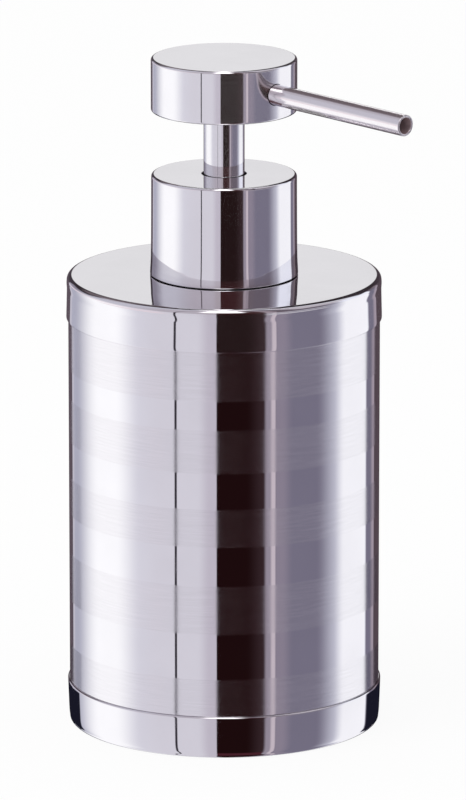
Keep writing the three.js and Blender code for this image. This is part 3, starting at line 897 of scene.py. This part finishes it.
def joint_range(name):
    """The lower and upper limit of a slide, in metres."""
    return next(joint["range_m"] for joint in frame["joints"] if joint["name"] == name)


def return_spring():
    """One wire in even curls, like the real spring that the pump's stroke squeezes."""
    wire = 0.45 * MM
    coil = SPRING.radius - wire
    curls = 9
    steps, sides = 48, 12
    rise = SPRING.top - SPRING.foot - 2 * wire
    sections = []
    for step in range(curls * steps + 1):
        share = step / (curls * steps)
        angle = 2 * math.pi * step / steps
        level = SPRING.foot + wire + rise * share
        middle = polar(coil, angle, level)
        out = polar(1, angle, 0)
        along = Vector((-math.sin(angle) * coil, math.cos(angle) * coil, rise / (curls * 2 * math.pi)))
        up = along.normalized().cross(out)
        section = []
        for side in range(sides):
            turn = 2 * math.pi * side / sides
            section.append(middle + wire * (math.cos(turn) * out + math.sin(turn) * up))
        sections.append(section)
    piece = dress("return_spring", lofted("spring", sections), WIRE)
    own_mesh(piece)


def dip_tube():
    """A soft tube whose lower end is cut at a slant."""
    slant = math.tan(math.radians(40))
    wall = 0.7 * MM
    edge = 0.08 * MM
    mesh = ring("tube", TUBE.radius - wall, TUBE.radius, TUBE.foot, TUBE.top, edge, SMALL_SIDES)
    for vertex in mesh.vertices:
        if vertex.co.z < TUBE.foot + MM:
            vertex.co.z += (TUBE.radius - vertex.co.x) * slant
    mesh.update()
    dress("dip_tube", mesh, SOFT_PLASTIC)


# Plunger

WAIST = 3.3 * MM  # radius of the rod where the piston sits


def piston_seal():
    """A piston with a lip at each end and a groove between them."""
    inner = WAIST + GAP
    lip = 1.6 * MM
    groove = 0.9 * MM
    waist = PISTON.radius - groove
    soft = 0.12 * MM
    bend = 0.5 * MM
    mesh = turned("piston", [
        (inner, PISTON.top, soft), (PISTON.radius, PISTON.top, soft),
        (PISTON.radius, PISTON.top - lip, soft), (waist, PISTON.top - lip - groove, bend),
        (waist, PISTON.foot + lip + groove, bend), (PISTON.radius, PISTON.foot + lip, soft),
        (PISTON.radius, PISTON.foot, soft), (inner, PISTON.foot, soft),
    ], SMALL_SIDES)
    dress("piston_seal", mesh, SOFT_PLASTIC)


def piston_stem():
    """The hollow rod, with a snap end under the piston and the outlet ball's seat on top."""
    bore = 2 * MM
    rod = SLEEVE.radius - SLEEVE_WALL - GAP
    snap = 1.1 * MM
    snap_height = 1.4 * MM
    snap_top = PISTON.foot - GAP
    shoulder = PISTON.top + GAP
    seat_play = 0.12 * MM
    cone = BALL_RADIUS + seat_play + (rod - BALL_RADIUS) / 3
    soft = 0.15 * MM
    mesh = turned("rod", [
        (bore, snap_top - snap_height), (WAIST, snap_top - snap_height, soft),
        (WAIST + snap, snap_top - snap_height / 3, soft), (WAIST + snap, snap_top, soft),
        (WAIST, snap_top), (WAIST, shoulder), (rod, shoulder, soft), (rod, ROD.top, soft),
        (cone, ROD.top), (bore, ROD.top - cone + bore),
    ], SMALL_SIDES)
    dress("piston_stem", mesh, PUMP_PLASTIC)


# Head

SEAL_WIDTH = 1.1 * MM
SEAL_DEPTH = 2.2 * MM


def stem_sleeve():
    bore = SLEEVE.radius - SLEEVE_WALL
    soft = 0.15 * MM
    mesh = ring("sleeve", bore, SLEEVE.radius, SLEEVE.foot, SLEEVE.top, soft)
    dress("stem_sleeve", mesh, HEAD_STEEL)


def head_cover():
    inner = HEAD.radius - COVER_WALL
    under = HEAD.top - COVER_WALL
    lower_edge = 0.55 * MM
    thin = 0.04 * MM
    soft = 0.3 * MM
    cover = turned("head", [
        (0, HEAD.top), (HEAD.radius, HEAD.top, COVER_EDGE), (HEAD.radius, HEAD.foot, lower_edge),
        (inner, HEAD.foot, thin), (inner, under, soft), (0, under),
    ], WIDE_SIDES)
    hole = nozzle_rod(NOZZLE_RADIUS + GAP / 2, NOZZLE_SEAT, 2 * HEAD.radius)
    mesh = combined(cover, "DIFFERENCE", hole)
    round_wall(mesh, HEAD.radius)
    dress("head_cover", mesh, HEAD_STEEL)


def head_insert():
    """Plastic carrier with a hub for the rod, a skirt, and a bridge that holds the nozzle."""
    play = 0.25 * MM
    rod = SLEEVE.radius - SLEEVE_WALL - GAP + play
    sleeve = SLEEVE.radius + GAP
    hub = 9 * MM
    wall = 1.6 * MM
    plate = 2.2 * MM
    skirt = INSERT.radius - wall
    roof = INSERT.top - plate
    room = 0.6 * MM
    chamber = BALL_RADIUS + room
    chamber_roof = NOZZLE_LEVEL + NOZZLE_BORE + room
    peg = 0.9 * MM
    peg_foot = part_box("outlet_ball")[1].z + joint_range("outlet_ball_lift")[1] + GAP
    soft = 0.2 * MM
    carrier = turned("carrier", [
        (0, peg_foot), (peg, peg_foot), (peg, chamber_roof), (chamber, chamber_roof),
        (chamber, ROD.top + GAP), (rod, ROD.top + GAP), (rod, SLEEVE.top + GAP),
        (sleeve, SLEEVE.top + GAP), (sleeve, INSERT.foot, soft), (hub, INSERT.foot, soft),
        (hub, roof, soft), (skirt, roof, soft), (skirt, INSERT.foot, soft),
        (INSERT.radius, INSERT.foot, soft), (INSERT.radius, INSERT.top, soft), (0, INSERT.top),
    ])
    bridge_half = NOZZLE_RADIUS + GAP + wall
    bridge_top = roof + wall / 2
    bridge = box_mesh(
        "bridge", (hub - wall, -bridge_half, bridge_top - 2 * bridge_half),
        (INSERT.radius - wall / 2, bridge_half, bridge_top),
    )
    cuts = [
        nozzle_rod(NOZZLE_BORE, peg + GAP, NOZZLE_SEAT),
        nozzle_rod(NOZZLE_RADIUS + GAP, NOZZLE_SEAT - GAP, HEAD.radius),
        nozzle_rod(NOZZLE_RADIUS + 2 * GAP + SEAL_WIDTH, INSERT.radius - SEAL_DEPTH, HEAD.radius),
    ]
    mesh = combined(combined(carrier, "UNION", bridge), "DIFFERENCE", *cuts)
    dress("head_insert", mesh, PUMP_PLASTIC)


def nozzle_tube():
    tip = 0.29 * MM  # rounding of the tube's end
    corners = [
        (NOZZLE_BORE, NOZZLE_SEAT), (NOZZLE_RADIUS, NOZZLE_SEAT),
        (NOZZLE_RADIUS, NOZZLE_REACH, tip), (NOZZLE_BORE, NOZZLE_REACH, tip),
    ]
    mesh = turned("nozzle", corners, SMALL_SIDES)
    for face in mesh.polygons:
        face.material_index = int(face.center.xy.length < NOZZLE_BORE + 2 * HAIR)
    dress("nozzle_tube", along_nozzle(mesh), DRAWN, BORE)


def nozzle_seal():
    inner = NOZZLE_RADIUS + GAP
    outer = inner + SEAL_WIDTH
    start = INSERT.radius - SEAL_DEPTH + GAP
    end = INSERT.radius - GAP
    soft = 0.2 * MM
    mesh = ring("seal", inner, outer, start, end, soft, SMALL_SIDES)
    dress("nozzle_seal", along_nozzle(mesh), SEAL_RUBBER)


# Camera, light and floor

VIEW_TURN = math.radians(45)
TO_CAMERA = Vector((math.sin(VIEW_TURN), -math.cos(VIEW_TURN), 0))
TO_RIGHT = Vector((math.cos(VIEW_TURN), math.sin(VIEW_TURN), 0))
CAMERA_AWAY = 2.011
CAMERA_HEIGHT = 0.5864
CAMERA_SIDE = 2.25 * MM
CAMERA_PITCH = math.radians(14.05)  # downwards
CAMERA_LENS = 367.2  # in millimetres, as the sensor is
CAMERA_SENSOR = 36


def add_camera():
    """The photo's view of the dispenser."""
    data = bpy.data.cameras.new("camera")
    data.lens = CAMERA_LENS
    data.sensor_width = CAMERA_SENSOR
    camera = bpy.data.objects.new("camera", data)
    camera.location = TO_CAMERA * CAMERA_AWAY + TO_RIGHT * CAMERA_SIDE + Vector((0, 0, CAMERA_HEIGHT))
    camera.rotation_euler = (math.pi / 2 - CAMERA_PITCH, 0, VIEW_TURN)
    bpy.context.scene.collection.objects.link(camera)
    bpy.context.scene.camera = camera


FLOOR_HALF = 4.0
FLOOR_LEVEL = -0.02 * MM  # just under the foot pad
FLOOR_GLOW = 0.9  # share of plain white in what the camera sees of it


def mixed_shader(tree, factor, first, second):
    """A shader between two shaders."""
    node = tree.nodes.new("ShaderNodeMixShader")
    for socket, value in zip(node.inputs, (factor, first.outputs[0], second.outputs[0])):
        tree.links.new(value, socket)
    return node


def floor_material():
    """White except in the dispenser's shadow. A view from below looks through it."""
    material, tree, shader = new_material("floor", (0.97, 0.97, 0.97), 0.9)
    seen = tree.nodes.new("ShaderNodeLightPath").outputs["Is Camera Ray"]
    below = tree.nodes.new("ShaderNodeNewGeometry").outputs["Backfacing"]
    white = tree.nodes.new("ShaderNodeEmission")
    clear = tree.nodes.new("ShaderNodeBsdfTransparent")
    upper = mixed_shader(tree, math_node(tree, "MULTIPLY", seen, FLOOR_GLOW), shader, white)
    both = mixed_shader(tree, math_node(tree, "MULTIPLY", seen, below), upper, clear)
    tree.links.new(both.outputs[0], tree.nodes["Material Output"].inputs["Surface"])
    return material


def add_floor():
    """A plain pale floor, which mirrors don't show."""
    signs = ((-1, -1), (1, -1), (1, 1), (-1, 1))
    corners = [(x * FLOOR_HALF, y * FLOOR_HALF, FLOOR_LEVEL) for x, y in signs]
    mesh = bpy.data.meshes.new("floor")
    mesh.from_pydata(corners, [], [(0, 1, 2, 3)])
    mesh.materials.append(floor_material())
    floor = bpy.data.objects.new("floor", mesh)
    bpy.context.scene.collection.objects.link(floor)
    floor.visible_glossy = False


LAMP_SIZE = 1.2
LAMP_POWER = 8.0
LAMP_PLACE = TO_CAMERA * 0.8 - TO_RIGHT * 0.9 + Vector((0, 0, 1.6))
LAMP_AIM = Vector((0, 0, 0.08))  # the middle of the body


def add_lamp():
    """One large soft lamp over the left shoulder, which mirrors don't show."""
    data = bpy.data.lights.new("soft_lamp", "AREA")
    data.shape = "DISK"
    data.size = LAMP_SIZE
    data.energy = LAMP_POWER
    lamp = bpy.data.objects.new("soft_lamp", data)
    lamp.location = LAMP_PLACE
    lamp.rotation_euler = (LAMP_AIM - LAMP_PLACE).to_track_quat("-Z", "Y").to_euler()
    lamp.visible_glossy = False
    bpy.context.scene.collection.objects.link(lamp)


# What the dispenser's mirrors see. Azimuths are in degrees from the camera's direction, positive to the
# right, and levels are in degrees above the horizon. Later panels lie over earlier ones.
# A wall has its ends, how soft each end is, and its colour below and above the horizon.
Wall = namedtuple("Wall", "start end start_soft end_soft below above")
# A patch has its ends, its lowest and highest level, how soft they are, and one colour.
Patch = namedtuple("Patch", "start end soft low high level_soft colour")
# A strip lies straight behind the dispenser, so many degrees to each side.
Strip = namedtuple("Strip", "half soft low high level_soft colour")

SURROUND = (0.11, 0.085, 0.105)
SURROUND_ABOVE = (0.045, 0.035, 0.045)
HORIZON = (-2, 12)  # the levels between which the lower colours turn into the upper ones
WALLS = [
    Wall(-153.7, -5.5, 1.2, 0.35, (0.45, 0.45, 0.55), (0.26, 0.24, 0.3)),  # far wall on the left
    Wall(-153.7, -149, 0.8, 2, (0.57, 0.55, 0.63), (0.26, 0.24, 0.3)),
    Wall(-100, -5.5, 10, 0.35, (0.73, 0.72, 0.8), (0.52, 0.5, 0.57)),  # pale wall beside the window
    Wall(-124, -76, 18, 13, (1.09, 1.09, 1.11), (0.57, 0.56, 0.64)),  # left window
    Wall(-60, -5.5, 14, 0.35, (0.7, 0.68, 0.75), (0.49, 0.45, 0.51)),
    Wall(-15, -5.5, 5, 0.35, (0.57, 0.53, 0.61), (0.44, 0.39, 0.43)),
    Wall(-36.9, -35.15, 0.25, 0.25, (0.03, 0.025, 0.035), (0.1, 0.08, 0.1)),  # window frame
    Wall(-5.5, 30.5, 0.35, 1.5, (0.013, 0.004, 0.0045), (0.036, 0.007, 0.009)),  # dark doorway
    Wall(24, 30.5, 8, 1.5, (0.04, 0.022, 0.026), (0.075, 0.04, 0.045)),
    Wall(30.5, 39, 1.5, 0.4, (0.32, 0.28, 0.34), (0.36, 0.3, 0.34)),  # door post
    Wall(35, 38.2, 1, 0.4, (0.6, 0.52, 0.58), (0.3, 0.25, 0.29)),
    Wall(39, 148.7, 0.4, 1.2, (0.19, 0.175, 0.24), (0.14, 0.115, 0.145)),  # grey wall on the right
    Wall(39, 48, 0.4, 5, (0.27, 0.235, 0.3), (0.15, 0.12, 0.145)),
    Wall(84, 131, 12, 2, (0.6, 0.6, 0.7), (0.4, 0.39, 0.47)),
    Wall(95, 130.5, 6, 1.6, (1.0, 1.0, 1.04), (0.9, 0.92, 1.02)),  # right window
    Wall(142, 148.7, 3, 1, (0.38, 0.32, 0.38), (0.18, 0.14, 0.16)),
    Wall(148.7, 200, 1, 1, (0.09, 0.065, 0.08), (0.05, 0.035, 0.045)),
]
DARK_SIDE = (0.01, 0.01, 0.02)
DARK_CEILING = (0.03, 0.022, 0.027)
BRIGHT = (2.2, 2.15, 2.2)
PATCHES = [
    Patch(-200, -121, 7, 18, 76, 3, DARK_CEILING),
    Patch(121, 200, 7, 18, 76, 3, DARK_CEILING),
    Patch(-177, -131, 3, 28, 53, 4, (0.15, 0.12, 0.135)),  # lighter corners of the ceiling, for the nozzle
    Patch(-132, -108, 4, 38, 56, 4, (0.49, 0.46, 0.52)),
    Patch(58, 112, 7, 27, 70, 6, (0.53, 0.49, 0.54)),  # pale ceiling on the right
    Patch(-150, -45, 6, -5, 1.5, 1, (0.85, 0.72, 0.78)),  # light along the horizon
    Patch(31, 80, 4, -5, 1.5, 1, (0.55, 0.53, 0.58)),
    Patch(-177, -152, 1, -42, -15.98, 0.04, DARK_SIDE),  # dark table sides, low enough for the base only
    Patch(-154, -136.3, 1, -42, -16.85, 0.05, DARK_SIDE),
    Patch(152, 177, 1, -42, -15.98, 0.04, DARK_SIDE),
    Patch(132, 154, 2, -42, -16.85, 0.05, DARK_SIDE),
    Patch(-5.5, 30.5, 1.5, -50, -30, 3, (0.07, 0.017, 0.026)),  # reddish floor of the doorway
    Patch(-176, -110, 4, -85, -50, 5, (0.6, 0.6, 0.65)),  # pale table behind the base
    Patch(95, 169, 4, -85, -50, 5, (0.6, 0.6, 0.65)),
    Patch(-19, 17, 5, 38, 84, 6, BRIGHT),  # the one bright lamp in front
    Patch(-200, 200, 1, 82, 120, 4, BRIGHT),  # and the light straight above
]
STRIPS = [
    Strip(3.5, 1.5, 4, 19, 1.5, (0.8, 0.795, 0.81)),  # pale backdrop
    Strip(1.5, 1, 19, 86, 1.5, BRIGHT),  # row of lamps over it
]
PLAIN_LIGHT = (0.85, 0.85, 0.85)


def within(tree, value, start, end, start_soft, end_soft):
    """One between start and end of a value, and nothing outside, with soft ends."""
    rising = ranged(tree, value, start - start_soft, start + start_soft, 0, 1, smooth=True)
    falling = ranged(tree, value, end - end_soft, end + end_soft, 1, 0, smooth=True)
    return math_node(tree, "MULTIPLY", rising, falling)


def direction_angles(tree):
    """Azimuth and level in degrees of the direction that the world is asked for."""
    direction = tree.nodes.new("ShaderNodeTexCoord").outputs["Generated"]
    parts = []
    for axis in (TO_RIGHT, TO_CAMERA):
        dot = tree.nodes.new("ShaderNodeVectorMath")
        dot.operation = "DOT_PRODUCT"
        tree.links.new(direction, dot.inputs[0])
        dot.inputs[1].default_value = axis
        parts.append(dot.outputs["Value"])
    split = tree.nodes.new("ShaderNodeSeparateXYZ")
    tree.links.new(direction, split.inputs[0])
    azimuth = math_node(tree, "DEGREES", math_node(tree, "ARCTAN2", *parts))
    level = math_node(tree, "DEGREES", math_node(tree, "ARCSINE", split.outputs["Z"]))
    return azimuth, level


def across(tree, level, panel):
    """One between a panel's lowest and highest level, and nothing outside."""
    return within(tree, level, panel.low, panel.high, panel.level_soft, panel.level_soft)


def patch_mask(tree, azimuth, level, patch):
    """Where a patch shows, from nothing to one."""
    along = within(tree, azimuth, patch.start, patch.end, patch.soft, patch.soft)
    return math_node(tree, "MULTIPLY", along, across(tree, level, patch))


def strip_mask(tree, azimuth, level, strip):
    """Where a strip shows, from nothing to one."""
    away = math_node(tree, "ABSOLUTE", azimuth)
    edge = 180 - strip.half
    along = ranged(tree, away, edge - strip.soft, edge + strip.soft, 0, 1, smooth=True)
    return math_node(tree, "MULTIPLY", along, across(tree, level, strip))


def studio(tree, azimuth, level):
    """The colour that a mirror sees in each direction."""
    lift = ranged(tree, level, *HORIZON, 0, 1)
    colour = mixed(tree, lift, SURROUND, SURROUND_ABOVE)
    for wall in WALLS:
        own = mixed(tree, lift, wall.below, wall.above)
        mask = within(tree, azimuth, wall.start, wall.end, wall.start_soft, wall.end_soft)
        colour = mixed(tree, mask, colour, own)
    for patch in PATCHES:
        colour = mixed(tree, patch_mask(tree, azimuth, level, patch), colour, patch.colour)
    for strip in STRIPS:
        colour = mixed(tree, strip_mask(tree, azimuth, level, strip), colour, strip.colour)
    return colour


def build_world():
    """Mirrors see a studio, the camera sees white, and everything else gets plain soft light."""
    world = bpy.data.worlds.new("studio")
    bpy.context.scene.world = world
    world.use_nodes = True
    tree = world.node_tree
    colour = studio(tree, *direction_angles(tree))
    path = tree.nodes.new("ShaderNodeLightPath")
    colour = mixed(tree, path.outputs["Is Glossy Ray"], PLAIN_LIGHT, colour)
    colour = mixed(tree, path.outputs["Is Camera Ray"], colour, (1, 1, 1))
    tree.links.new(colour, tree.nodes["Background"].inputs["Color"])


def build_dispenser():
    foot_pad()
    base_cup()
    body_shell()
    top_lid()
    inner_bottle()
    collar_cover()
    collar_closure()
    neck_gasket()
    pump_housing()
    pump_guide()
    stem_wiper()
    ball_cage()
    valve_ball("inlet_ball")
    valve_ball("outlet_ball")
    return_spring()
    dip_tube()
    piston_stem()
    piston_seal()
    stem_sleeve()
    head_cover()
    head_insert()
    nozzle_tube()
    nozzle_seal()


bpy.context.scene.view_settings.view_transform = "Standard"
add_camera()
add_lamp()
add_floor()
build_world()
build_dispenser()
